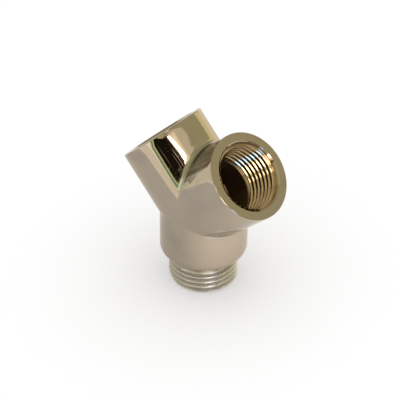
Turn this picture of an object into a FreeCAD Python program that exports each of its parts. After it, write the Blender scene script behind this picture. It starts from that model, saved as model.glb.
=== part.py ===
import FreeCAD, Part
import math
import os

# A plated brass Y fitting, forged and turned in one piece.
# Two arms with inside threads lean out from a round hub, and a stem with an outside thread
# stands below it. The same half-inch parallel pipe thread is used at all three ends.
# Millimetres, +Z up along the stem. The origin is the centre of the stem's end face, and the
# two arms lie in the XZ plane.

# Pipe thread, half-inch parallel
thread_diameter = 20.955   # over the crests of the stem's thread
thread_depth = 1.162       # crest to root

# Arms
arm_angle = 45.0           # lean of each arm from the vertical, in degrees
arm_reach = 23.7           # from the crossing of the axes to the face of a mouth
socket_wall = 2.82         # metal outside the roots of a socket's thread
mouth_bevel = 0.35         # broken outer edge of a mouth
lead_in_depth = 1.2        # cone that starts the thread, along the arm
lead_in_margin = 0.22      # how far that cone opens past the roots of the thread
drill_point_angle = 118.0  # cone left by the drill where a socket's bore ends

# Hub
hub_drop = 18.2            # from the crossing of the axes to the shoulder over the stem
shoulder_round = 2.5       # rounded lower edge of the hub
crotch_fillet = 1.8        # between the two arms
hub_fillet = 1.8           # between each arm and the hub

# Stem
stem_length = 10.3         # from the shoulder to the end face
stem_wall = 1.8            # metal between the roots of the thread and the waterway
stem_chamfer = 1.2         # starts the thread at the end face
neck_length = 1.4          # turned relief between the shoulder and the thread
neck_relief = 0.1          # how far the neck lies below the roots of the thread
waterway_chamfer = 0.5     # broken edge of the waterway at the end face

# Worked out from the sizes above
crest_radius = thread_diameter / 2
root_radius = crest_radius - thread_depth
body_radius = crest_radius + socket_wall
neck_radius = root_radius - neck_relief
waterway_radius = root_radius - stem_wall
crossing_height = stem_length + hub_drop

up = FreeCAD.Vector(0, 0, 1)
crossing = FreeCAD.Vector(0, 0, crossing_height)


def arm_direction(side):
    """Unit vector along an arm: side is -1 for the -X arm and 1 for the +X arm."""
    lean = math.radians(arm_angle)
    return FreeCAD.Vector(side * math.sin(lean), 0, math.cos(lean))


def turned(outline):
    """Solid turned about Z from a closed outline of edges in the XZ plane."""
    face = Part.Face(Part.Wire(outline))
    return face.revolve(FreeCAD.Vector(0, 0, 0), up, 360)


def polyline(points):
    """Straight edges through (radius, height) points."""
    corners = [FreeCAD.Vector(radius, 0, height) for radius, height in points]
    return [Part.makeLine(start, end) for start, end in zip(corners, corners[1:])]


def hub_and_stem():
    """Turned lower half: the hub, its rounded shoulder, the neck and the stem."""
    shoulder_height = stem_length
    shoulder_width = body_radius - neck_radius
    rounding = min(shoulder_round, 0.95 * shoulder_width)
    round_top = FreeCAD.Vector(body_radius, 0, shoulder_height + rounding)
    round_end = FreeCAD.Vector(body_radius - rounding, 0, shoulder_height)
    bulge = rounding * math.sin(math.radians(45))
    round_middle = FreeCAD.Vector(
        body_radius - rounding + bulge,
        0,
        shoulder_height + rounding - bulge,
    )
    upper = polyline([
        (0, crossing_height),
        (body_radius, crossing_height),
        (round_top.x, round_top.z),
    ])
    rounded_edge = Part.Arc(round_top, round_middle, round_end).toShape()
    thread_top = shoulder_height - neck_length
    lower = polyline([
        (round_end.x, round_end.z),
        (neck_radius, shoulder_height),
        (neck_radius, thread_top),
        (crest_radius, thread_top - (crest_radius - neck_radius)),
        (crest_radius, stem_chamfer),
        (crest_radius - stem_chamfer, 0),
        (0, 0),
        (0, crossing_height),
    ])
    return turned(upper + [rounded_edge] + lower)


def arm(side):
    """Plain round arm from the crossing of the axes to its mouth."""
    return Part.makeCylinder(body_radius, arm_reach, crossing, arm_direction(side))


def distance_to_branch(point, direction):
    """Distance of a point from the axis that runs through the crossing in a direction."""
    return (point - crossing).cross(direction).Length


def middle_of(edge):
    """Point half-way along an edge."""
    return edge.valueAt((edge.FirstParameter + edge.LastParameter) / 2)


def crease_edges(shape, first, second):
    """Edges where the branch along one direction meets the branch along the other."""
    edges = []
    for edge in shape.Edges:
        middle = middle_of(edge)
        on_first = abs(distance_to_branch(middle, first) - body_radius) < 0.001
        on_second = abs(distance_to_branch(middle, second) - body_radius) < 0.001
        if on_first and on_second:
            edges.append(edge)
    return edges


def mouth_edges(shape):
    """Outer circles of the two mouths."""
    edges = []
    for side in (-1, 1):
        direction = arm_direction(side)
        for edge in shape.Edges:
            middle = middle_of(edge)
            at_mouth = abs((middle - crossing).dot(direction) - arm_reach) < 0.001
            if at_mouth and abs(distance_to_branch(middle, direction) - body_radius) < 0.001:
                edges.append(edge)
    return edges


def outer_body():
    """The forged outside: two arms and the hub, blended where they meet."""
    outside = hub_and_stem().fuse([arm(-1), arm(1)]).removeSplitter()
    crotch = crease_edges(outside, arm_direction(-1), arm_direction(1))
    outside = outside.makeFillet(crotch_fillet, crotch)
    for side in (-1, 1):
        crease = crease_edges(outside, arm_direction(side), up)
        outside = outside.makeFillet(hub_fillet, crease)
    return outside.makeChamfer(mouth_bevel, mouth_edges(outside))


def socket_bore(side):
    """Bore of one arm: lead-in cone, bore at the thread's inner diameter, drill point."""
    direction = arm_direction(side)
    mouth = crossing + direction * arm_reach
    bore = Part.makeCylinder(root_radius, arm_reach, crossing, direction)
    lead_in = Part.makeCone(
        crest_radius + lead_in_margin,
        root_radius,
        lead_in_depth,
        mouth,
        direction * -1,
    )
    point_height = root_radius / math.tan(math.radians(drill_point_angle / 2))
    drill_point = Part.makeCone(root_radius, 0, point_height, crossing, direction * -1)
    return [bore, lead_in, drill_point]


def waterway():
    """Bore up the stem to the crossing, with a broken edge at the end face."""
    end = FreeCAD.Vector(0, 0, 0)
    bore = Part.makeCylinder(waterway_radius, crossing_height, end, up)
    broken_edge = Part.makeCone(
        waterway_radius + waterway_chamfer,
        waterway_radius,
        waterway_chamfer,
        end,
        up,
    )
    return [bore, broken_edge]


def y_body():
    """The whole fitting as one solid."""
    hollows = waterway() + socket_bore(-1) + socket_bore(1)
    return outer_body().cut(hollows).Solids[0]


os.makedirs("parts", exist_ok=True)
fitting = y_body()
fitting.exportStep("parts/y_body.step")

box = fitting.BoundBox
print("y_body valid:", fitting.isValid())
print("size in mm:", round(box.XLength, 2), round(box.YLength, 2), round(box.ZLength, 2))
print("volume in mm3:", round(fitting.Volume, 1))
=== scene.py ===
import bpy
import bmesh
import math
from mathutils import Matrix, Vector


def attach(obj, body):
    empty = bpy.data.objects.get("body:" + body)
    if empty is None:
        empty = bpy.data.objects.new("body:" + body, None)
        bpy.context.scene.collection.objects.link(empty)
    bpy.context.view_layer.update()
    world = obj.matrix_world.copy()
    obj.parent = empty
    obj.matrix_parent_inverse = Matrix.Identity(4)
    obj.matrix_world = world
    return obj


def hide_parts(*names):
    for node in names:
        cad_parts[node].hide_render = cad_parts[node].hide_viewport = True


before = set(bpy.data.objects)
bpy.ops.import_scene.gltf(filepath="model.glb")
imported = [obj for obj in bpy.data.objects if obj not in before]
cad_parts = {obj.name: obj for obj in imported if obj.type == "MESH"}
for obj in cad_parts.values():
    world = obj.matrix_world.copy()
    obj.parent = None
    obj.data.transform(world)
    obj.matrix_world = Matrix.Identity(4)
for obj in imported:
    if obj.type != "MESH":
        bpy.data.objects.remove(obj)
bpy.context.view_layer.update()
print("frame loaded")

mm = 0.001
up = Vector((0, 0, 1))
acrossArms = Vector((0, 1, 0))  # square to the plane that both arms lie in
weldDistance = 0.0005 * mm
inPlane = 0.001 * mm  # corners this close to a plane lie in it

# half-inch parallel pipe thread, the same at all three ends
pipeThread = {
    "pitch": 1.8143 * mm,
    "crestRadius": 10.4775 * mm,
    "depth": 1.162 * mm,
    "tipRound": 0.2485 * mm,  # crests and roots are rounded alike
    "flankAngle": math.radians(27.5),
}
pipeThread["rootRadius"] = pipeThread["crestRadius"] - pipeThread["depth"]

# body: two arms, the hub and the neck over the stem's thread
fitting = {
    "socketWall": 2.82 * mm,  # metal outside the crests' radius
    "armLean": math.radians(45),
    "armReach": 23.7 * mm,  # crossing of the axes to the face of a mouth
    "hubDrop": 18.2 * mm,  # crossing of the axes to the shoulder
    "shoulderHeight": 10.3 * mm,
    "shoulderRound": 2.5 * mm,
    "neckRelief": 0.1 * mm,  # below the roots of the thread
    "neckLength": 1.4 * mm,
    "crotchFillet": 1.8 * mm,
    "hubFillet": 1.8 * mm,
    "mouthRound": 0.4 * mm,
    "segments": 160,  # round every branch, thread and bore
    "filletRows": 12,
    "straightRows": 8,
    "roundRows": 8,
    "sharpAngle": math.radians(38),
}
fitting["radius"] = pipeThread["crestRadius"] + fitting["socketWall"]
fitting["neckRadius"] = pipeThread["rootRadius"] - fitting["neckRelief"]
fitting["crossingHeight"] = fitting["shoulderHeight"] + fitting["hubDrop"]
fitting["crossing"] = up * fitting["crossingHeight"]


def armDirection(side):
    lean = fitting["armLean"]
    return Vector((side * math.sin(lean), 0, math.cos(lean)))


def ringPoint(direction, facing, along, turn, radius):
    aside = facing * math.cos(turn) + acrossArms * math.sin(turn)
    return fitting["crossing"] + direction * along + aside * radius


def gridSheet(bm, columns, rows, place):
    # a flat grid bent into shape: place(column, row) gives each corner
    made = bmesh.ops.create_grid(bm, x_segments=columns, y_segments=rows, size=1)
    for vert in made["verts"]:
        column = round((vert.co.x + 1) / 2 * columns)
        row = round((vert.co.y + 1) / 2 * rows)
        vert.co = place(column, row)


def addBranchSkin(bm, direction, facing, neighbours, reach):
    # one round branch, from its blends with both neighbours out to its plain end
    # neighbours: (angle between the axes, fillet radius) on the facing side and on the other
    columns = fitting["segments"]
    filletRows = fitting["filletRows"]
    rows = filletRows + fitting["straightRows"]
    radius = fitting["radius"]

    def place(column, row):
        turn = 2 * math.pi * column / columns
        onFacingSide = math.cos(turn) >= 0
        between, fillet = neighbours[0] if onFacingSide else neighbours[1]
        lean = abs(math.cos(turn))
        if lean < 1e-9:  # midway between the neighbours, where their blends meet
            lean = 0.0
        contact = (radius + fillet) * lean / math.tan(between / 2)
        aside = facing * math.cos(turn) + acrossArms * math.sin(turn)
        if row > filletRows:
            share = (row - filletRows) / fitting["straightRows"]
            along = contact + (reach - contact) * share
            return fitting["crossing"] + direction * along + aside * radius
        ball = fitting["crossing"] + direction * contact + aside * (radius + fillet)
        mitre = mitreNormal(direction, facing if onFacingSide else -facing, between)
        start = -aside
        middle = (start - mitre * start.dot(mitre)).normalized()
        sweep = start.angle(middle, 0)
        share = row / filletRows
        if sweep < 1e-6:
            return ball + start * fillet
        outward = (
            middle * math.sin(sweep * (1 - share)) + start * math.sin(sweep * share)
        ) / math.sin(sweep)
        return ball + outward * fillet

    gridSheet(bm, columns, rows, place)


def mitreNormal(direction, toward, between):
    # normal of the plane that halves the angle between a branch and its neighbour
    return (toward * math.cos(between / 2) - direction * math.sin(between / 2)).normalized()


def spinProfile(bm, points, cent, axis):
    # points are corners in space; they are turned once round the axis
    verts = [bm.verts.new(point) for point in points]
    edges = [bm.edges.new(pair) for pair in zip(verts, verts[1:])]
    bmesh.ops.spin(
        bm,
        geom=verts + edges,
        cent=cent,
        axis=axis,
        angle=2 * math.pi,
        steps=fitting["segments"],
        use_merge=True,
    )


def arcPoints(centre, first, second, radius, steps):
    # quarter circle from the first direction to the second
    points = []
    for step in range(steps + 1):
        turn = math.pi / 2 * step / steps
        points.append(centre + (first * math.cos(turn) + second * math.sin(turn)) * radius)
    return points


def threadRadius(offset):
    # radius of the rounded V thread at a distance along the axis from a crest
    pitch = pipeThread["pitch"]
    tip = pipeThread["tipRound"]
    flank = pipeThread["flankAngle"]
    away = abs((offset + pitch / 2) % pitch - pitch / 2)
    tipHalf = tip * math.cos(flank)
    if away < tipHalf:
        return pipeThread["crestRadius"] - tip + math.sqrt(tip ** 2 - away ** 2)
    if away > pitch / 2 - tipHalf:
        left = pitch / 2 - away
        return pipeThread["rootRadius"] + tip - math.sqrt(tip ** 2 - left ** 2)
    flankTop = pipeThread["crestRadius"] - tip + tip * math.sin(flank)
    return flankTop - (away - tipHalf) / math.tan(flank)


def threadStations():
    # sample places along one pitch, closer together on the tips
    pitch = pipeThread["pitch"]
    tipHalf = pipeThread["tipRound"] * math.cos(pipeThread["flankAngle"])
    rising = [0, tipHalf / 2, tipHalf, pitch / 4, pitch / 2 - tipHalf, pitch / 2 - tipHalf / 2]
    falling = [pitch - place for place in reversed(rising[1:])]
    return rising + [pitch / 2] + falling


def addThread(bm, low, high, crestAt, limit):
    # a right-hand thread about Z between two heights; limit(radius, height) trims it
    pitch = pipeThread["pitch"]
    firstTurn = math.floor((low - pitch - crestAt) / pitch) - 1
    lastTurn = math.ceil((high - crestAt) / pitch) + 1
    verts = []
    for turn in range(firstTurn, lastTurn):
        for station in threadStations():
            height = crestAt + turn * pitch + station
            verts.append(bm.verts.new((threadRadius(station), 0, height)))
    edges = [bm.edges.new(pair) for pair in zip(verts, verts[1:])]
    bmesh.ops.spin(
        bm,
        geom=verts + edges,
        cent=(0, 0, 0),
        axis=up,
        dvec=up * pitch / fitting["segments"],
        angle=2 * math.pi,
        steps=fitting["segments"],
    )
    for vert in bm.verts:
        height = min(max(vert.co.z, low), high)
        radius = vert.co.xy.length
        trimmed = limit(radius, height)
        vert.co = (vert.co.x * trimmed / radius, vert.co.y * trimmed / radius, height)
    bmesh.ops.remove_doubles(bm, verts=bm.verts, dist=weldDistance)
    bmesh.ops.dissolve_degenerate(bm, edges=bm.edges, dist=weldDistance)


def boundaryRing(bm, height):
    ring = [edge for edge in bm.edges if edge.is_boundary]
    return [edge for edge in ring if all(abs(vert.co.z - height) < inPlane for vert in edge.verts)]


def extendRing(bm, ring, radius, height):
    # pulls a boundary ring about Z out to a new radius and height
    made = bmesh.ops.extrude_edge_only(bm, edges=ring)["geom"]
    for item in made:
        if isinstance(item, bmesh.types.BMVert):
            scale = radius / item.co.xy.length
            item.co = (item.co.x * scale, item.co.y * scale, height)
    return [item for item in made if isinstance(item, bmesh.types.BMEdge)]


def meshObject(name, bm, materials):
    bmesh.ops.remove_doubles(bm, verts=bm.verts, dist=weldDistance)
    bmesh.ops.recalc_face_normals(bm, faces=bm.faces)
    mesh = bpy.data.meshes.new(name)
    bm.to_mesh(mesh)
    bm.free()
    obj = bpy.data.objects.new(name, mesh)
    for material in materials:
        mesh.materials.append(material)
    bpy.context.scene.collection.objects.link(obj)
    return obj


# socket: thread, lead-in and bore of an arm, made as the solid that is cut away
socket = {
    "threadDepth": 14.3 * mm,
    "crestDepth": 14.6 * mm,  # depth of a crest on the +Y side
    "leadInDepth": 1.2 * mm,
    "leadInMargin": 0.22 * mm,  # how far the cone opens past the crests' radius
    "overshoot": 0.3 * mm,
    "drillPoint": math.radians(118),
    "drillTip": 0.05 * mm,
}
socket["leadInRadius"] = pipeThread["crestRadius"] + socket["leadInMargin"]


def socketCutter(side, material):
    reach = fitting["armReach"]
    innerEnd = reach - socket["threadDepth"]
    leadInSlope = (socket["leadInRadius"] - pipeThread["rootRadius"]) / socket["leadInDepth"]

    def limit(radius, height):
        depth = reach - height
        leadIn = socket["leadInRadius"] - depth * leadInSlope
        runOut = pipeThread["rootRadius"] + (height - innerEnd)
        return max(min(radius, runOut), leadIn, pipeThread["rootRadius"])

    # a groove of the inside thread is a crest of this solid, half a pitch from the metal's crest;
    # the thread climbs a quarter of its pitch from +X, where it starts, to +Y
    pitch = pipeThread["pitch"]
    grooveAt = reach - socket["crestDepth"] + pitch / 2 - pitch / 4
    bm = bmesh.new()
    addThread(bm, innerEnd, reach, grooveAt, limit)
    outer = boundaryRing(bm, reach)
    outerRadius = socket["leadInRadius"] + socket["overshoot"] * leadInSlope
    outer = extendRing(bm, outer, outerRadius, reach + socket["overshoot"])
    bmesh.ops.contextual_create(bm, geom=outer)
    inner = boundaryRing(bm, innerEnd)
    inner = extendRing(bm, inner, pipeThread["rootRadius"], 0)
    pointHeight = pipeThread["rootRadius"] / math.tan(socket["drillPoint"] / 2)
    inner = extendRing(bm, inner, socket["drillTip"], -pointHeight)
    bmesh.ops.contextual_create(bm, geom=inner)
    # about Z first, then leaned over to the arm
    turn = Matrix.Rotation(fitting["armLean"], 4, "Y")
    place = Matrix.Translation(fitting["crossing"]) @ turn
    if side < 0:
        place = Matrix.Rotation(math.pi, 4, "Z") @ place
    bmesh.ops.transform(bm, matrix=place, verts=bm.verts)
    return meshObject("socketCutter", bm, [material])


# stem: outside thread, neck and waterway
stem = {
    "chamfer": 1.2 * mm,
    "crestHeight": 2.65 * mm,  # height of a crest on the side that the photo shows
    "shownSide": math.radians(-50.4),
    "wall": 1.8 * mm,  # metal between the thread's roots and the waterway
    "waterwayChamfer": 0.5 * mm,
}


def addStemThread(bm):
    threadTop = fitting["shoulderHeight"] - fitting["neckLength"]

    def limit(radius, height):
        bottom = pipeThread["crestRadius"] - stem["chamfer"] + height
        top = fitting["neckRadius"] + threadTop - height
        return min(radius, bottom, top)

    crestAt = stem["crestHeight"] - pipeThread["pitch"] * stem["shownSide"] / (2 * math.pi)
    addThread(bm, 0, threadTop, crestAt, limit)
    bmesh.ops.contextual_create(bm, geom=boundaryRing(bm, 0))


def waterwayCutter(material):
    radius = pipeThread["rootRadius"] - stem["wall"]
    chamfer = stem["waterwayChamfer"]
    overshoot = socket["overshoot"]
    bm = bmesh.new()
    points = [
        Vector((radius + chamfer + overshoot, 0, -overshoot)),
        Vector((radius, 0, chamfer)),
        Vector((radius, 0, fitting["crossingHeight"])),
    ]
    spinProfile(bm, points, (0, 0, 0), up)
    for height in (-overshoot, fitting["crossingHeight"]):
        bmesh.ops.contextual_create(bm, geom=boundaryRing(bm, height))
    return meshObject("waterwayCutter", bm, [material])


def addHubEnd(bm):
    # rounded shoulder, its flat and the neck down to the thread
    radius = fitting["radius"]
    rounding = fitting["shoulderRound"]
    shoulder = fitting["shoulderHeight"]
    side = Vector((1, 0, 0))
    centre = side * (radius - rounding) + up * (shoulder + rounding)
    points = arcPoints(centre, side, -up, rounding, fitting["roundRows"])
    neck = fitting["neckRadius"]
    points.append(Vector((neck, 0, shoulder)))
    points.append(Vector((neck, 0, shoulder - fitting["neckLength"])))
    spinProfile(bm, points, (0, 0, 0), up)


def addMouth(bm, direction, facing):
    # softened edge and flat face of a mouth
    reach = fitting["armReach"]
    rounding = fitting["mouthRound"]
    inset = fitting["radius"] - rounding
    centre = ringPoint(direction, facing, reach - rounding, 0, inset)
    points = arcPoints(centre, facing, direction, rounding, fitting["roundRows"])
    spinProfile(bm, points, fitting["crossing"], direction)
    bmesh.ops.remove_doubles(bm, verts=bm.verts, dist=weldDistance)
    rim = [edge for edge in bm.edges if edge.is_boundary]
    rim = [edge for edge in rim if all(
        abs((vert.co - fitting["crossing"]).dot(direction) - reach) < inPlane
        for vert in edge.verts)]
    bmesh.ops.contextual_create(bm, geom=rim)


def outerBody(materials):
    lean = fitting["armLean"]
    crotch = (2 * lean, fitting["crotchFillet"])
    hubBlend = (math.pi - lean, fitting["hubFillet"])
    bm = bmesh.new()
    addStemThread(bm)
    for face in bm.faces:
        face.material_index = 2
    addHubEnd(bm)
    hubEnd = fitting["crossingHeight"] - fitting["shoulderHeight"] - fitting["shoulderRound"]
    addBranchSkin(bm, -up, Vector((1, 0, 0)), (hubBlend, hubBlend), hubEnd)
    for side in (-1, 1):
        direction = armDirection(side)
        facing = Vector((-side * math.cos(lean), 0, math.sin(lean)))
        armEnd = fitting["armReach"] - fitting["mouthRound"]
        addBranchSkin(bm, direction, facing, (crotch, hubBlend), armEnd)
        addMouth(bm, direction, facing)
    return meshObject("y_fitting", bm, materials)


def cutAway(piece, cutter):
    cut = piece.modifiers.new("cut", "BOOLEAN")
    cut.operation = "DIFFERENCE"
    cut.solver = "EXACT"
    cut.object = cutter


def applyModifiers(piece):
    depsgraph = bpy.context.evaluated_depsgraph_get()
    mesh = bpy.data.meshes.new_from_object(piece.evaluated_get(depsgraph))
    piece.modifiers.clear()
    piece.data = mesh


def weldPiece(piece):
    # closes the hairline gaps that the cuts leave
    bm = bmesh.new()
    bm.from_mesh(piece.data)
    bmesh.ops.remove_doubles(bm, verts=bm.verts, dist=4 * weldDistance)
    bmesh.ops.dissolve_degenerate(bm, edges=bm.edges, dist=weldDistance)
    bm.to_mesh(piece.data)
    bm.free()


def openEdges(piece):
    bm = bmesh.new()
    bm.from_mesh(piece.data)
    count = sum(1 for edge in bm.edges if not edge.is_manifold)
    bm.free()
    return count


# plating: polished all over, apart from what the buffing wheel couldn't reach; the crease, the
# undersides of the arms and parts of the brushed patch also carry painted shade and painted reflection
plating = {
    "colour": (0.40, 0.335, 0.265, 1),
    "dullColour": (0.36, 0.305, 0.24, 1),
    "edgeColour": (0.98, 0.94, 0.88, 1),  # what grazing light keeps
    "roughness": (0.02, 0.05),  # clean, and under smudges
    "smudgeScale": 90,
    "underFace": (8.2 * mm, 10.2 * mm),  # painted reflection on the undersides of the arms, cooler near the hub
    "underDepth": (11 * mm, 13.5 * mm),
    "underReflectionColour": (0.385, 0.335, 0.285, 1),
    "underHubReflectionColour": (0.52, 0.49, 0.48, 1),
    "underSkin": (0.3 * mm, 0.1 * mm),  # only this close to the outside of the arm
    "waveScale": 140,  # slow waves left by the buffing wheel
    "waveHeight": 0.003 * mm,
    "scratchScale": 900,
    "scratchHeight": 0.0006 * mm,
    "scratchRoughness": 0.05,
}
# duller line between the arms, and its foot, which spreads over the +X arm; its darker colour is
# painted shade, its added roughness a duller polish
crease = {
    "colour": (0.34, 0.315, 0.23, 1),
    "roughness": 0.08,
    "half": (1.6 * mm, 0.5 * mm),
    "rise": (8 * mm, 11 * mm),  # heights are over the crossing of the axes
    "footStart": 8.5 * mm,
    "footSpread": 0.69,
    "footEdge": (0.2 * mm, -0.2 * mm),
    "footTop": (15 * mm, 14 * mm),
    "footSide": (-0.1 * mm, 0.3 * mm),
}
# brushed patch on the inner side of the +X arm, with painted shade where it turns down and beside the
# crease
brushed = {
    "face": (10.8 * mm, 11.1 * mm),  # its edge: this far round the arm at the mouth,
    "slope": 0.36,  # and less further in
    "start": (0.1 * mm, 0.7 * mm),
    "low": (13.5 * mm, 14 * mm),
    "mouthStrip": (0.9 * mm, 1.2 * mm),  # the mouth and its edge are polished
    "colour": (0.47, 0.445, 0.41, 1),
    "markColour": (0.31, 0.30, 0.28, 1),
    "marks": {"Scale": 1900, "Stretch": (0.09, 1, 0.09), "Threshold": 0.42},
    "lowShadeColour": (0.22, 0.19, 0.14, 1),  # painted shade where it turns down towards the floor
    "lowShadeTurn": (8.7 * mm, 8.0 * mm),
    "shadeColour": (0.16, 0.18, 0.19, 1),  # beside the crease
    "shadeHalf": (3.4 * mm, 1.2 * mm),
    "shadeRise": (15.5 * mm, 19 * mm),
    "roughness": 0.19,
}
# bare machined metal
stemSkin = {
    "crestColour": (0.56, 0.525, 0.50, 1),
    "grooveColour": (0.47, 0.43, 0.385, 1),
    "roughness": (0.20, 0.36),
    "grooveRadius": 9.4 * mm,
    "crestRadius": 10.35 * mm,
    "smudgeScale": 220,
    "smudgeShare": 0.5,
    "marks": {"Scale": 500, "Stretch": (1, 1, 6)},
    "markHeight": 0.004 * mm,
}
socketSkin = {
    "crestColour": (0.54, 0.42, 0.26, 1),
    # painted shade in the thread's grooves; the smudges take this colour too
    "grooveColour": (0.26, 0.16, 0.075, 1),
    # painted shade deep in the bore, past the thread
    "deepShadeColour": (0.19, 0.115, 0.065, 1),
    "lipDepth": (0.55 * mm, 0.2 * mm),  # the plating runs a little way into a mouth
    "roughness": (0.06, 0.15),
    "deepRoughness": 0.5,
    "deep": (13.6 * mm, 14.6 * mm),
    "crestBand": 0.15 * mm,  # of the thread's depth, all crest
    "grooveBand": 0.2 * mm,  # and all groove
    "aboveStem": (8 * mm, 16 * mm),  # the waterway's end stays light, outside the painted shade deep in the bore and the lip
    "smudgeScale": 260,
    "smudgeShare": 0.4,
    "marks": {"Scale": 600, "Stretch": (1, 1, 1)},
    "markHeight": 0.003 * mm,
}


def newGroup(name, inputs, outputs):
    group = bpy.data.node_groups.new(name, "ShaderNodeTree")
    for socketName, kind, value in inputs:
        made = group.interface.new_socket(socketName, in_out="INPUT", socket_type=kind)
        if value is not None:
            made.default_value = value
    for socketName, kind in outputs:
        group.interface.new_socket(socketName, in_out="OUTPUT", socket_type=kind)
    groupIn = group.nodes.new("NodeGroupInput")
    groupOut = group.nodes.new("NodeGroupOutput")
    return group, groupIn, groupOut


def mathNode(tree, operation, *values):
    node = tree.nodes.new("ShaderNodeMath")
    node.operation = operation
    for slot, value in zip(node.inputs, values):
        if isinstance(value, (int, float)):
            slot.default_value = value
        else:
            tree.links.new(value, slot)
    return node.outputs["Value"]


def multiply(tree, *values):
    product = values[0]
    for value in values[1:]:
        product = mathNode(tree, "MULTIPLY", product, value)
    return product


def rampNode(tree, value, low, high):
    # smooth step, 0 at low and 1 at high
    node = tree.nodes.new("ShaderNodeMapRange")
    node.interpolation_type = "SMOOTHSTEP"
    node.inputs["From Min"].default_value = low
    node.inputs["From Max"].default_value = high
    tree.links.new(value, node.inputs["Value"])
    return node.outputs["Result"]


def smudgeGroup():
    # cloudy patches where the polish is duller
    group, groupIn, groupOut = newGroup(
        "smudges",
        [("Vector", "NodeSocketVector", None), ("Scale", "NodeSocketFloat", 90)],
        [("Mask", "NodeSocketFloat")],
    )
    cloud = group.nodes.new("ShaderNodeTexNoise")
    cloud.inputs["Detail"].default_value = 4
    cloud.inputs["Distortion"].default_value = 0.6
    group.links.new(groupIn.outputs["Vector"], cloud.inputs["Vector"])
    group.links.new(groupIn.outputs["Scale"], cloud.inputs["Scale"])
    mask = rampNode(group, cloud.outputs["Fac"], 0.45, 0.72)
    group.links.new(mask, groupOut.inputs["Mask"])
    return group


def scratchGroup():
    # thin marks of the buffing wheel, drawn out along one direction
    group, groupIn, groupOut = newGroup(
        "buffingMarks",
        [
            ("Vector", "NodeSocketVector", None),
            ("Scale", "NodeSocketFloat", 900),
            ("Stretch", "NodeSocketVector", (1, 1, 0.04)),
            ("Threshold", "NodeSocketFloat", 0.60),
        ],
        [("Mask", "NodeSocketFloat")],
    )
    stretch = group.nodes.new("ShaderNodeVectorMath")
    stretch.operation = "MULTIPLY"
    group.links.new(groupIn.outputs["Vector"], stretch.inputs[0])
    group.links.new(groupIn.outputs["Stretch"], stretch.inputs[1])
    grain = group.nodes.new("ShaderNodeTexNoise")
    grain.inputs["Detail"].default_value = 2
    group.links.new(stretch.outputs["Vector"], grain.inputs["Vector"])
    group.links.new(groupIn.outputs["Scale"], grain.inputs["Scale"])
    above = mathNode(group, "SUBTRACT", grain.outputs["Fac"], groupIn.outputs["Threshold"])
    group.links.new(rampNode(group, above, 0, 0.14), groupOut.inputs["Mask"])
    return group


def armPlaceGroup():
    # depth below an arm's mouth and distance from its axis; both arms mirror onto one
    group, groupIn, groupOut = newGroup(
        "armPlace",
        [("Vector", "NodeSocketVector", None)],
        [("Depth", "NodeSocketFloat"), ("Radius", "NodeSocketFloat")],
    )
    split = group.nodes.new("ShaderNodeSeparateXYZ")
    group.links.new(groupIn.outputs["Vector"], split.inputs[0])
    aside = mathNode(group, "ABSOLUTE", split.outputs["X"])
    height = mathNode(group, "SUBTRACT", split.outputs["Z"], fitting["crossingHeight"])
    lean = fitting["armLean"]
    along = mathNode(
        group,
        "ADD",
        mathNode(group, "MULTIPLY", aside, math.sin(lean)),
        mathNode(group, "MULTIPLY", height, math.cos(lean)),
    )
    across = mathNode(
        group,
        "SUBTRACT",
        mathNode(group, "MULTIPLY", aside, math.cos(lean)),
        mathNode(group, "MULTIPLY", height, math.sin(lean)),
    )
    squares = mathNode(
        group,
        "ADD",
        mathNode(group, "MULTIPLY", across, across),
        mathNode(group, "MULTIPLY", split.outputs["Y"], split.outputs["Y"]),
    )
    group.links.new(mathNode(group, "SUBTRACT", fitting["armReach"], along), groupOut.inputs["Depth"])
    group.links.new(mathNode(group, "SQRT", squares), groupOut.inputs["Radius"])
    return group


def newMetal(name):
    material = bpy.data.materials.new(name)
    material.use_nodes = True
    tree = material.node_tree
    shader = tree.nodes["Principled BSDF"]
    shader.inputs["Metallic"].default_value = 1
    place = tree.nodes.new("ShaderNodeTexCoord")
    return material, tree, shader, place.outputs["Object"]


def useGroup(tree, group, place, **values):
    node = tree.nodes.new("ShaderNodeGroup")
    node.node_tree = group
    tree.links.new(place, node.inputs["Vector"])
    for name, value in values.items():
        node.inputs[name].default_value = value
    return node


def mixColour(tree, mask, first, second):
    node = tree.nodes.new("ShaderNodeMix")
    node.data_type = "RGBA"
    tree.links.new(mask, node.inputs["Factor"])
    for socketName, colour in (("A", first), ("B", second)):
        if isinstance(colour, tuple):
            node.inputs[socketName].default_value = colour
        else:
            tree.links.new(colour, node.inputs[socketName])
    return node.outputs["Result"]


def mixValue(tree, mask, first, second):
    node = tree.nodes.new("ShaderNodeMix")
    tree.links.new(mask, node.inputs["Factor"])
    for socketName, value in (("A", first), ("B", second)):
        if isinstance(value, (int, float)):
            node.inputs[socketName].default_value = value
        else:
            tree.links.new(value, node.inputs[socketName])
    return node.outputs["Result"]


def addBump(tree, shader, height, distance):
    bump = tree.nodes.new("ShaderNodeBump")
    bump.inputs["Distance"].default_value = distance
    tree.links.new(height, bump.inputs["Height"])
    tree.links.new(bump.outputs["Normal"], shader.inputs["Normal"])
    return bump


def creaseDullingAndShadeMask(tree, across, aside, rise):
    # painted shade, with a duller polish, along the crease and over its foot
    line = multiply(
        tree, rampNode(tree, aside, *crease["half"]), rampNode(tree, rise, *crease["rise"]))
    # the foot widens upwards, and ends under the brushed patch
    spread = multiply(tree, mathNode(tree, "SUBTRACT", rise, crease["footStart"]), crease["footSpread"])
    foot = multiply(
        tree,
        rampNode(tree, mathNode(tree, "SUBTRACT", aside, spread), *crease["footEdge"]),
        rampNode(tree, rise, *crease["footTop"]),
        rampNode(tree, across, *crease["footSide"]),
    )
    return mathNode(tree, "MAXIMUM", line, foot)


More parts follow.
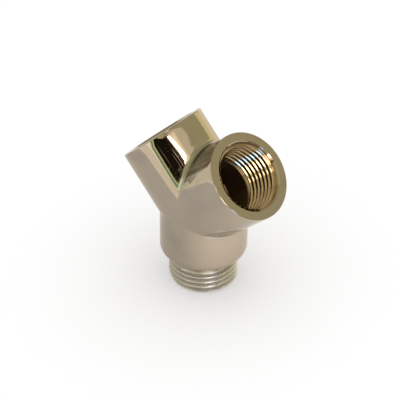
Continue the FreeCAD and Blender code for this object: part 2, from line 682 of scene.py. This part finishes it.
def brushedMask(tree, across, rise, towardOther, depth):
    sloped = mathNode(tree, "ADD", towardOther, multiply(tree, depth, brushed["slope"]))
    return multiply(
        tree,
        rampNode(tree, sloped, *brushed["face"]),
        rampNode(tree, across, *brushed["start"]),
        rampNode(tree, rise, *brushed["low"]),
        rampNode(tree, depth, *brushed["mouthStrip"]),
    )


def brushedColourAndShade(tree, marks, aside, rise, towardOther):
    # the patch's own colour and marks, then painted shade where it turns down and beside the crease
    colour = mixColour(tree, marks, brushed["colour"], brushed["markColour"])
    turned = rampNode(tree, towardOther, *brushed["lowShadeTurn"])
    colour = mixColour(tree, turned, colour, brushed["lowShadeColour"])
    shade = multiply(
        tree,
        rampNode(tree, aside, *brushed["shadeHalf"]),
        rampNode(tree, rise, *brushed["shadeRise"]),
    )
    return mixColour(tree, shade, colour, brushed["shadeColour"])


def addUndersideReflection(tree, colour, towardOther, where):
    # painted reflection: the undersides of the arms take a cooler colour, and a greyer one near the hub
    skin = fitting["radius"]
    outside, onSkin = plating["underSkin"]
    under = multiply(
        tree,
        rampNode(tree, multiply(tree, towardOther, -1), *plating["underFace"]),
        rampNode(tree, where.outputs["Radius"], skin + outside, skin + onSkin),
    )
    nearHub = rampNode(tree, where.outputs["Depth"], *plating["underDepth"])
    underReflectionColour = mixColour(tree, nearHub, plating["underReflectionColour"], plating["underHubReflectionColour"])
    return mixColour(tree, under, colour, underReflectionColour)


def platedMaterial(smudges, scratches, armPlace):
    material, tree, shader, place = newMetal("platedSkin")
    shader.inputs["Specular Tint"].default_value = plating["edgeColour"]
    dull = useGroup(tree, smudges, place, Scale=plating["smudgeScale"]).outputs["Mask"]
    marks = useGroup(tree, scratches, place, Scale=plating["scratchScale"]).outputs["Mask"]
    brushMarks = useGroup(tree, scratches, place, **brushed["marks"]).outputs["Mask"]
    where = useGroup(tree, armPlace, place)
    split = tree.nodes.new("ShaderNodeSeparateXYZ")
    tree.links.new(place, split.inputs[0])
    across = split.outputs["X"]
    aside = mathNode(tree, "ABSOLUTE", across)
    rise = mathNode(tree, "SUBTRACT", split.outputs["Z"], fitting["crossingHeight"])
    # how far round an arm, towards the other arm
    towardOther = multiply(
        tree, mathNode(tree, "SUBTRACT", rise, aside), math.cos(fitting["armLean"]))
    inCreaseDullingAndShade = creaseDullingAndShadeMask(tree, across, aside, rise)
    onPatch = brushedMask(tree, across, rise, towardOther, where.outputs["Depth"])

    colour = mixColour(tree, dull, plating["colour"], plating["dullColour"])
    # painted shade in the crease
    colour = mixColour(tree, inCreaseDullingAndShade, colour, crease["colour"])
    patchColourAndShade = brushedColourAndShade(tree, brushMarks, aside, rise, towardOther)
    colour = mixColour(tree, onPatch, colour, patchColourAndShade)
    colour = addUndersideReflection(tree, colour, towardOther, where)
    tree.links.new(colour, shader.inputs["Base Color"])

    roughness = mixValue(tree, dull, *plating["roughness"])
    roughness = mathNode(tree, "ADD", roughness, multiply(tree, inCreaseDullingAndShade, crease["roughness"]))
    roughness = mathNode(tree, "ADD", roughness, multiply(tree, marks, plating["scratchRoughness"]))
    roughness = mixValue(tree, onPatch, roughness, brushed["roughness"])
    tree.links.new(roughness, shader.inputs["Roughness"])

    waves = tree.nodes.new("ShaderNodeTexNoise")
    waves.inputs["Scale"].default_value = plating["waveScale"]
    waves.inputs["Detail"].default_value = 1
    tree.links.new(place, waves.inputs["Vector"])
    bump = addBump(tree, shader, waves.outputs["Fac"], plating["waveHeight"])
    fine = tree.nodes.new("ShaderNodeBump")
    fine.inputs["Distance"].default_value = plating["scratchHeight"]
    tree.links.new(marks, fine.inputs["Height"])
    tree.links.new(fine.outputs["Normal"], bump.inputs["Normal"])
    return material


def stemMaterial(smudges, scratches):
    material, tree, shader, place = newMetal("stemSkin")
    flat = tree.nodes.new("ShaderNodeVectorMath")
    flat.operation = "MULTIPLY"
    flat.inputs[1].default_value = (1, 1, 0)
    tree.links.new(place, flat.inputs[0])
    radius = tree.nodes.new("ShaderNodeVectorMath")
    radius.operation = "LENGTH"
    tree.links.new(flat.outputs["Vector"], radius.inputs[0])
    crest = rampNode(tree, radius.outputs["Value"], stemSkin["grooveRadius"], stemSkin["crestRadius"])
    dull = useGroup(tree, smudges, place, Scale=stemSkin["smudgeScale"]).outputs["Mask"]
    smeared = multiply(tree, dull, stemSkin["smudgeShare"])
    colour = mixColour(tree, crest, stemSkin["grooveColour"], stemSkin["crestColour"])
    colour = mixColour(tree, smeared, colour, stemSkin["grooveColour"])
    tree.links.new(colour, shader.inputs["Base Color"])
    roughness = mixValue(tree, dull, *stemSkin["roughness"])
    tree.links.new(roughness, shader.inputs["Roughness"])
    marks = useGroup(tree, scratches, place, **stemSkin["marks"]).outputs["Mask"]
    addBump(tree, shader, marks, stemSkin["markHeight"])
    return material


def socketMaterial(smudges, scratches, armPlace):
    material, tree, shader, place = newMetal("socketSkin")
    where = useGroup(tree, armPlace, place)
    split = tree.nodes.new("ShaderNodeSeparateXYZ")
    tree.links.new(place, split.inputs[0])
    inArm = rampNode(tree, split.outputs["Z"], *socketSkin["aboveStem"])
    crestEnd = pipeThread["rootRadius"] + socketSkin["crestBand"]
    grooveStart = pipeThread["crestRadius"] - socketSkin["grooveBand"]
    groove = rampNode(tree, where.outputs["Radius"], crestEnd, grooveStart)
    deep = multiply(tree, rampNode(tree, where.outputs["Depth"], *socketSkin["deep"]), inArm)
    lip = multiply(tree, rampNode(tree, where.outputs["Depth"], *socketSkin["lipDepth"]), inArm)
    dull = useGroup(tree, smudges, place, Scale=socketSkin["smudgeScale"]).outputs["Mask"]
    smeared = multiply(tree, dull, socketSkin["smudgeShare"])
    # painted shade in the thread's grooves
    colour = mixColour(tree, groove, socketSkin["crestColour"], socketSkin["grooveColour"])
    colour = mixColour(tree, smeared, colour, socketSkin["grooveColour"])
    # painted shade deep in the bore
    colour = mixColour(tree, deep, colour, socketSkin["deepShadeColour"])
    colour = mixColour(tree, lip, colour, plating["colour"])
    tree.links.new(colour, shader.inputs["Base Color"])
    roughness = mixValue(tree, dull, *socketSkin["roughness"])
    roughness = mixValue(tree, deep, roughness, socketSkin["deepRoughness"])
    tree.links.new(roughness, shader.inputs["Roughness"])
    marks = useGroup(tree, scratches, place, **socketSkin["marks"]).outputs["Mask"]
    addBump(tree, shader, marks, socketSkin["markHeight"])
    return material


smudges = smudgeGroup()
scratches = scratchGroup()
armPlace = armPlaceGroup()
plated = platedMaterial(smudges, scratches, armPlace)
threadedStem = stemMaterial(smudges, scratches)
bore = socketMaterial(smudges, scratches, armPlace)
print("materials built")

fittingPiece = outerBody([plated, bore, threadedStem])
print("outer body", len(fittingPiece.data.polygons), "faces, open edges", openEdges(fittingPiece))
cutters = [socketCutter(-1, bore), socketCutter(1, bore), waterwayCutter(bore)]
for cutter in cutters:
    # the cut faces take the bore's place among the fitting's materials
    cutter.data.materials.append(bore)
    for face in cutter.data.polygons:
        face.material_index = 1
    print("cutter", len(cutter.data.polygons), "faces, open edges", openEdges(cutter))
    cutAway(fittingPiece, cutter)
applyModifiers(fittingPiece)
for cutter in cutters:
    bpy.data.objects.remove(cutter)
weldPiece(fittingPiece)
for face in fittingPiece.data.polygons:
    face.use_smooth = True
fittingPiece.data.set_sharp_from_angle(angle=fitting["sharpAngle"])
print("fitting", len(fittingPiece.data.polygons), "faces, open edges", openEdges(fittingPiece))

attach(fittingPiece, "root")
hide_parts("y_body")

# studio: a white room, with cards that only the plating mirrors
studio = {
    "floorHalf": 2.0,
    "floorColour": (0.9, 0.9, 0.9, 1),
    "shadeColour": (0.38, 0.34, 0.28, 1),  # what the metal mirrors far out towards +X
    "shadeEdge": (0.09, 0.12),
    "floorGlow": (0.13, 0.13, 0.13, 1),  # brings the lit floor up to white
    "nearEdge": (0.158, 0.178),  # the mirrored floor is brighter past a straight edge
    "edgeFacing": (-0.68, -0.73, 0),
    "farGlow": (0.52, 0.44, 0.27, 1),
    "leftEdge": (-0.12, -0.20),  # and duller again far out towards -X
    "leftGlow": (0.26, 0.24, 0.08, 1),
    "backEdge": (0.14, 0.18),  # and yellower towards +Y
    "backGlow": (0.42, 0.32, 0.02, 1),
    "sideEdge": (-0.015, 0.055),  # and a little brighter towards +X, up to the side end
    "sideEnd": (0.10, 0.06),
    "sideGlow": (0.58, 0.54, 0.44, 1),
    "cardDistance": 3.0,
    "cardColumns": 48,
    "cardRows": 8,
}

# azimuth is counted from -Y towards +X; a card spans (first, last) azimuth and lies between
# the lines low and high, each an elevation or (azimuth, elevation) points; all in degrees
cards = {
    "paleWall": {
        "azimuth": (-30, 5.6), "low": 0, "high": 20, "colour": (1.75, 1.65, 1.65)},
    "greenEdge": {
        "azimuth": (5.6, 7.3), "low": 0, "high": 30, "colour": (0.60, 1.15, 0.25)},
    "greyEdge": {
        "azimuth": (7.3, 10), "low": 0, "high": 30, "colour": (0.36, 0.47, 0.52)},
    "limeEdge": {
        "azimuth": (10, 12.6), "low": 0, "high": 20, "colour": (1.05, 1.10, 0.60)},
    "greenTurn": {
        "azimuth": (9, 30), "distance": 2.98, "colour": (0.60, 1.15, 0.25),
        "low": ((9, 3.2), (16.2, 9.8), (24.2, 16.8), (30, 21)),
        "high": ((9, 4.4), (16.2, 10.8), (24.2, 17.6), (30, 21.8))},
    "limeTurn": {
        "azimuth": (12.6, 47), "distance": 3.05, "colour": (1.15, 1.10, 0.75),
        "low": ((12.6, 3), (24.2, 12), (35.5, 20), (47, 26)),
        "high": ((12.6, 9), (24.2, 19), (35.5, 27), (47, 33.2))},
    "blackFlag": {
        "azimuth": (12.6, 47), "colour": (0.02, 0.014, 0.009),
        "low": ((12.6, 8.0), (16.2, 11.4), (24.2, 18.2), (35.5, 26.4), (47, 32.9)),
        "high": (
            (12.6, 20), (20, 24.5), (26, 26.5), (33, 29), (36.5, 30.3), (42, 32), (44.8, 33.3),
            (47, 33.6))},
    "brownEdge": {
        "azimuth": (47, 54), "low": ((47, 32.6), (54, 34.8)), "colour": (0.16, 0.10, 0.05),
        "high": ((47, 34.2), (52, 35.9), (54, 36.3))},
    "brownPatch": {
        "azimuth": (35.5, 50.5), "distance": 3.05, "colour": (0.24, 0.10, 0.03),
        "low": ((35.5, 28), (50.5, 34)), "high": ((35.5, 31.4), (44.4, 35.4), (50.5, 36.9))},
    "palestSlat": {
        "azimuth": (41.2, 44.5), "distance": 2.9, "colour": (1.1, 0.95, 0.78),
        "low": ((41.2, 30.8), (43, 31.4), (43.4, 22), (44.5, 22)),
        "high": ((41.2, 31.1), (43.3, 31.9), (44.5, 31.9))},
    "paleSlat": {
        "azimuth": (35.4, 37.5), "distance": 2.9, "colour": (0.65, 0.52, 0.36),
        "low": ((35.4, 27.2), (36.3, 27.5), (36.7, 20), (37.5, 20)),
        "high": ((35.4, 27.5), (36.4, 27.9), (37.5, 28))},
    "dimSlat": {
        "azimuth": (18, 20.4), "distance": 2.9, "colour": (0.26, 0.25, 0.15),
        "low": ((18, 14.6), (20.4, 15.6)), "high": ((18, 15.1), (20.4, 16.4))},
    "softBox": {
        "azimuth": (46.7, 66), "distance": 2.95, "colour": (5.0, 5.0, 5.0),
        "low": ((46.7, 34.3), (52, 35.9), (54, 35), (66, 38)),
        "high": ((46.7, 35), (50.7, 36.3), (55.3, 37.7), (57.2, 38.3), (61.5, 39.3), (66, 40))},
    "softGlow": {
        "azimuth": (50, 69.5), "distance": 2.96, "colour": (1.95, 1.75, 1.3),
        "low": ((50, 35.5), (66, 38), (69.5, 38.6)),
        "high": ((50, 36.3), (55.3, 37.8), (58, 38.5), (61.5, 39.7), (66, 40.9), (69.5, 41.8))},
    "softFade": {
        "azimuth": (50, 73.5), "distance": 2.98, "colour": (1.5, 1.37, 1.0),
        "low": ((50, 35.5), (66, 38), (73.5, 39.5)),
        "high": ((50, 36.5), (55.3, 38.1), (58, 38.9), (61.5, 40.1), (66, 41.4), (73.5, 43))},
    "beigeWall": {
        "azimuth": (47.4, 108.5), "distance": 3.1, "colour": (1.14, 1.09, 0.86),
        "low": ((47.4, 24), (74, 24), (76, 41), (88, 42.4), (95.4, 42.5), (102.4, 42.2), (108.5, 41.5)),
        "high": (
            (47.4, 37), (60, 43.5), (70, 45.5), (84.5, 46), (93, 44.6), (99.8, 43.1), (105, 42.4),
            (108.5, 41.7))},
    "threadLamp": {
        "azimuth": (44, 70), "distance": 2.97, "colour": (6.2, 5.7, 5.1),
        "low": ((44, 14), (60, 20), (70, 20)),
        "high": ((44, 30), (48, 32.8), (54, 34.6), (60, 35.2), (70, 37.5))},
    "threadLampTop": {
        "azimuth": (44, 66), "high": 51, "colour": (3.4, 3.1, 2.6),
        "low": ((44, 40), (48.4, 41.4), (55.2, 43.6), (60, 45.6), (66, 48))},
    "lipLamp": {
        "azimuth": (95, 113), "low": 25, "high": 30.5, "colour": (2.3, 2.8, 3.2)},
    "oliveWall": {
        "azimuth": (38, 165.5), "low": 3, "high": 75, "distance": 3.3, "colour": (0.68, 0.65, 0.42)},
    "yellowEdge": {
        "azimuth": (165.5, 179), "low": -0.6, "high": 30, "colour": (1.30, 1.22, 0.74)},
    "rearWall": {
        "azimuth": (174, 330), "low": 12, "high": 75, "distance": 3.3, "colour": (0.60, 0.56, 0.40)},
    "frontWall": {
        "azimuth": (-30, 38), "low": 5, "high": 75, "distance": 3.3, "colour": (0.80, 0.78, 0.56)},
    "blueWindow": {
        "azimuth": (62, 77), "low": 4, "high": 18, "colour": (1.9, 3.4, 6.6)},
    "ceiling": {
        "azimuth": (0, 360), "low": 75, "high": 90, "distance": 3.3, "colour": (0.60, 0.56, 0.40)},
}


def emission(colour):
    material = bpy.data.materials.new("glow")
    material.use_nodes = True
    nodes = material.node_tree.nodes
    nodes.clear()
    glow = nodes.new("ShaderNodeEmission")
    glow.inputs["Color"].default_value = (*colour, 1)
    output = nodes.new("ShaderNodeOutputMaterial")
    material.node_tree.links.new(glow.outputs["Emission"], output.inputs["Surface"])
    return material


def skyPoint(azimuth, elevation, distance):
    azimuth = math.radians(azimuth)
    elevation = math.radians(elevation)
    return fitting["crossing"] + distance * Vector((
        math.sin(azimuth) * math.cos(elevation),
        -math.cos(azimuth) * math.cos(elevation),
        math.sin(elevation),
    ))


def lineAt(line, azimuth):
    if isinstance(line, (int, float)):
        return line
    for (startAzimuth, start), (endAzimuth, end) in zip(line, line[1:]):
        if azimuth <= endAzimuth:
            return start + (end - start) * (azimuth - startAzimuth) / (endAzimuth - startAzimuth)
    return line[-1][1]


def addCard(name, card):
    firstAzimuth, lastAzimuth = card["azimuth"]
    distance = card.get("distance", studio["cardDistance"])
    columns = studio["cardColumns"]
    rows = studio["cardRows"]

    def place(column, row):
        azimuth = firstAzimuth + (lastAzimuth - firstAzimuth) * column / columns
        low = lineAt(card["low"], azimuth)
        elevation = low + (lineAt(card["high"], azimuth) - low) * row / rows
        return skyPoint(azimuth, elevation, distance)

    bm = bmesh.new()
    gridSheet(bm, columns, rows, place)
    obj = meshObject(name, bm, [emission(card["colour"])])
    obj.visible_camera = False
    obj.visible_diffuse = False
    obj.visible_shadow = False


def floorGlow(tree, split, place):
    # what the plating mirrors from the floor, on both sides of a straight edge
    onward = tree.nodes.new("ShaderNodeVectorMath")
    onward.operation = "DOT_PRODUCT"
    onward.inputs[1].default_value = studio["edgeFacing"]
    tree.links.new(place, onward.inputs[0])
    far = rampNode(tree, onward.outputs["Value"], *studio["nearEdge"])
    left = rampNode(tree, split.outputs["X"], *studio["leftEdge"])
    farGlow = mixColour(tree, left, studio["farGlow"], studio["leftGlow"])
    side = multiply(
        tree,
        rampNode(tree, split.outputs["X"], *studio["sideEdge"]),
        rampNode(tree, split.outputs["X"], *studio["sideEnd"]),
    )
    sideGlow = mixColour(tree, side, (0, 0, 0, 1), studio["sideGlow"])
    back = rampNode(tree, split.outputs["Y"], *studio["backEdge"])
    nearGlow = mixColour(tree, back, sideGlow, studio["backGlow"])
    return mixColour(tree, far, nearGlow, farGlow)


def floorMaterial():
    material = bpy.data.materials.new("paleFloor")
    material.use_nodes = True
    tree = material.node_tree
    shader = tree.nodes["Principled BSDF"]
    shader.inputs["Roughness"].default_value = 0.9
    shader.inputs["Specular IOR Level"].default_value = 0.0
    shader.inputs["Emission Strength"].default_value = 1
    place = tree.nodes.new("ShaderNodeTexCoord").outputs["Object"]
    split = tree.nodes.new("ShaderNodeSeparateXYZ")
    tree.links.new(place, split.inputs[0])
    mirrored = tree.nodes.new("ShaderNodeLightPath").outputs["Is Glossy Ray"]
    shade = multiply(tree, rampNode(tree, split.outputs["X"], *studio["shadeEdge"]), mirrored)
    paper = mixColour(tree, shade, studio["floorColour"], studio["shadeColour"])
    tree.links.new(paper, shader.inputs["Base Color"])
    glow = mixColour(tree, mirrored, studio["floorGlow"], floorGlow(tree, split, place))
    tree.links.new(glow, shader.inputs["Emission Color"])
    return material


def addFloor():
    bm = bmesh.new()
    bmesh.ops.create_grid(bm, x_segments=1, y_segments=1, size=studio["floorHalf"])
    meshObject("floor", bm, [floorMaterial()])


addFloor()
for cardName, card in cards.items():
    addCard(cardName, card)
print("studio built")

world = bpy.data.worlds.new("studio")
bpy.context.scene.world = world
world.use_nodes = True
world.node_tree.nodes["Background"].inputs["Color"].default_value = (1, 1, 1, 1)
world.node_tree.nodes["Background"].inputs["Strength"].default_value = 1.0

# camera
shot = {
    "azimuth": math.radians(39.58),
    "elevation": math.radians(37.63),
    "roll": math.radians(0.85),
    "distance": 522 * mm,
    "lens": 157.8,
    "sensor": 36,
    "nearest": 10 * mm,
    "aimRight": -1.28 * mm,  # the crossing sits a little right of and above the picture's middle
    "aimUp": -0.40 * mm,
}


def setCamera():
    azimuth = shot["azimuth"]
    elevation = shot["elevation"]
    back = Vector((
        math.sin(azimuth) * math.cos(elevation),
        -math.cos(azimuth) * math.cos(elevation),
        math.sin(elevation),
    ))
    right = up.cross(back).normalized()
    above = back.cross(right)
    place = fitting["crossing"] + back * shot["distance"]
    aim = fitting["crossing"] + right * shot["aimRight"] + above * shot["aimUp"]
    turn = (aim - place).to_track_quat("-Z", "Y").to_matrix().to_4x4()
    cameraData = bpy.data.cameras.new("photoCamera")
    cameraData.lens = shot["lens"]
    cameraData.sensor_width = shot["sensor"]
    cameraData.clip_start = shot["nearest"]
    camera = bpy.data.objects.new("photoCamera", cameraData)
    camera.matrix_world = Matrix.Translation(place) @ turn @ Matrix.Rotation(shot["roll"], 4, "Z")
    bpy.context.scene.collection.objects.link(camera)
    bpy.context.scene.camera = camera


setCamera()
bpy.context.scene.view_settings.view_transform = "Standard"
